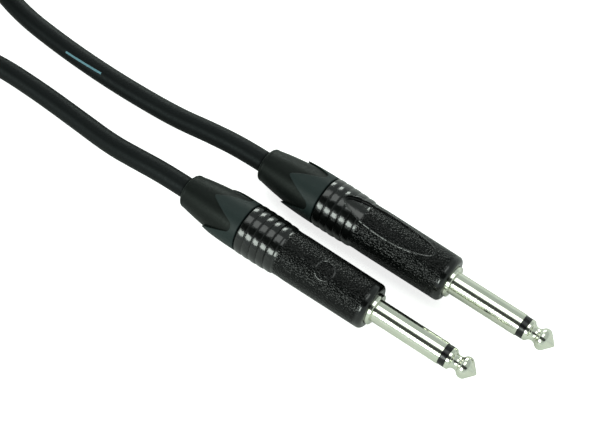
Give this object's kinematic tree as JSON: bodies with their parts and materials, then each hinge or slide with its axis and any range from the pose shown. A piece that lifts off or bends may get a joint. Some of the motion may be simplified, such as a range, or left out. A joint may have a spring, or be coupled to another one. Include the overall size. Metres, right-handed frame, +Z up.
{
  "type": "instrument cable",
  "caption": "Black instrument cable with a straight 6.35 mm mono jack plug on each end, screw-on cable glands and its spare length in a tied hank.",
  "frame": {"origin": "plug A's finger datum: the front face of its collar, on the plug's axis, 7.36 mm above what the plugs lie on", "axes": "+X along plug A's finger towards its tip, +Z up, +Y across the pair away from plug B"},
  "size_m": [0.3263, 0.058, 0.0397],
  "materials": {
    "housing_black": "black textured finish with a gloss",
    "gland_grey": "satin slate grey",
    "boot_rubber": "matt black",
    "cable_jacket": "matt black",
    "nickel": "polished nickel plate",
    "insulator_black": "black",
    "clamp_plastic": "natural",
    "liner_plastic": "black",
    "terminal_brass": "tinned",
    "solder": "bright",
    "core_insulation": "natural",
    "copper": "bare copper",
    "tie_fabric": "woven hook-and-loop"
  },
  "bodies": {
    "cable_and_plugs": {"plug_a_housing": "housing_black", "plug_a_liner": "liner_plastic", "plug_a_sleeve_contact": "nickel", "plug_a_tip_insulator": "insulator_black", "plug_a_tip_contact": "nickel", "plug_a_tip_terminal": "terminal_brass", "plug_a_tip_solder": "solder", "plug_a_sleeve_solder": "solder", "plug_a_jacket_end": "cable_jacket", "plug_a_core_insulation": "core_insulation", "plug_a_conductor": "copper", "plug_a_screen_pigtail": "copper", "plug_b_housing": "housing_black", "plug_b_liner": "liner_plastic", "plug_b_sleeve_contact": "nickel", "plug_b_tip_insulator": "insulator_black", "plug_b_tip_contact": "nickel", "plug_b_tip_terminal": "terminal_brass", "plug_b_tip_solder": "solder", "plug_b_sleeve_solder": "solder", "plug_b_jacket_end": "cable_jacket", "plug_b_core_insulation": "core_insulation", "plug_b_conductor": "copper", "plug_b_screen_pigtail": "copper", "cable_run_a": "cable_jacket", "cable_run_b": "cable_jacket", "cable_hank": "cable_jacket", "hank_tie": "tie_fabric"},
    "plug_a_clamp": {"plug_a_cable_clamp": "clamp_plastic"},
    "plug_a_gland": {"plug_a_gland_nut": "gland_grey", "plug_a_boot": "boot_rubber"},
    "plug_b_clamp": {"plug_b_cable_clamp": "clamp_plastic"},
    "plug_b_gland": {"plug_b_gland_nut": "gland_grey", "plug_b_boot": "boot_rubber"}
  },
  "joints": [
    {"name": "plug_a_clamp_slide", "type": "slide", "parent": "cable_and_plugs", "child": "plug_a_clamp", "axis": [-1, 0, 0], "range_m": [0, 0.00525]},
    {"name": "plug_a_gland_turn", "type": "hinge", "parent": "plug_a_clamp", "child": "plug_a_gland", "pos_m": [-0.04195, 0, 0], "axis": [-1, 0, 0], "range_deg": [0, 1260.01]},
    {"name": "plug_b_clamp_slide", "type": "slide", "parent": "cable_and_plugs", "child": "plug_b_clamp", "axis": [-0.9999, -0.0117, 0], "range_m": [0, 0.00525]},
    {"name": "plug_b_gland_turn", "type": "hinge", "parent": "plug_b_clamp", "child": "plug_b_gland", "pos_m": [-0.05365, -0.01939, 0], "axis": [-0.9999, -0.0117, 0], "range_deg": [0, 1260.01]}
  ],
  "couplings": [
    {"joint": "plug_a_gland_turn", "follows": "plug_a_clamp_slide", "rad_per_m": 4188.8},
    {"joint": "plug_b_gland_turn", "follows": "plug_b_clamp_slide", "rad_per_m": 4188.8}
  ]
}
